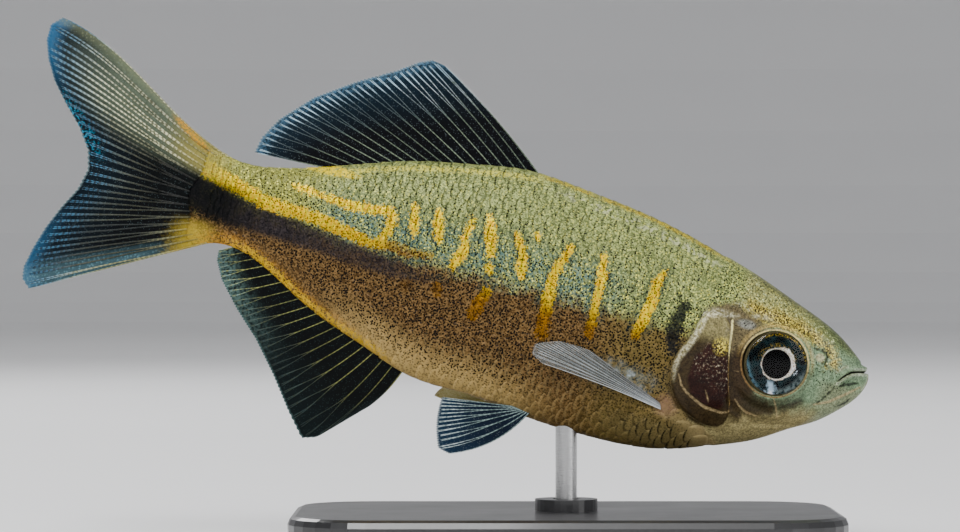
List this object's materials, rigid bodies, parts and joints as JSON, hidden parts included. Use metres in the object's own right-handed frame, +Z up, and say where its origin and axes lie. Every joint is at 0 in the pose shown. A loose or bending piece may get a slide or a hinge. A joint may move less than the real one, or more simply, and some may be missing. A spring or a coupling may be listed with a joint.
{
  "type": "bengal danio model",
  "caption": "Life-size still model of a bengal danio swimming nose down, held over a flat base by a short rod.",
  "frame": {"origin": "centre of the underside of the display base, on the floor", "axes": "+X towards the fish's head, +Y towards its left side, +Z up"},
  "size_m": [0.0867, 0.034, 0.0545],
  "materials": {
    "head_skin": "wet skin, olive above and silver below",
    "gill_cover": "wet, dark brown with a silver rim",
    "eye": "glossy black with a pale gold ring",
    "body_skin": "wet scaled skin, olive with gold bars and a dark stripe",
    "fin": "thin blue-black membrane with pale rays",
    "clear_fin": "thin milky membrane with white rays",
    "stand_base": "fine matte black",
    "stand_rod": "satin"
  },
  "bodies": {
    "root": {"head": "head_skin", "lower_jaw": "head_skin", "gill_cover_right": "gill_cover", "gill_cover_left": "gill_cover", "eye_right": "eye", "eye_left": "eye", "trunk": "body_skin", "caudal_peduncle": "body_skin", "dorsal_fin": "fin", "anal_fin": "fin", "caudal_fin": "fin", "pectoral_fin_right": "clear_fin", "pectoral_fin_left": "clear_fin", "pelvic_fin_right": "fin", "pelvic_fin_left": "fin", "stand_base": "stand_base", "stand_rod": "stand_rod"}
  },
  "joints": []
}
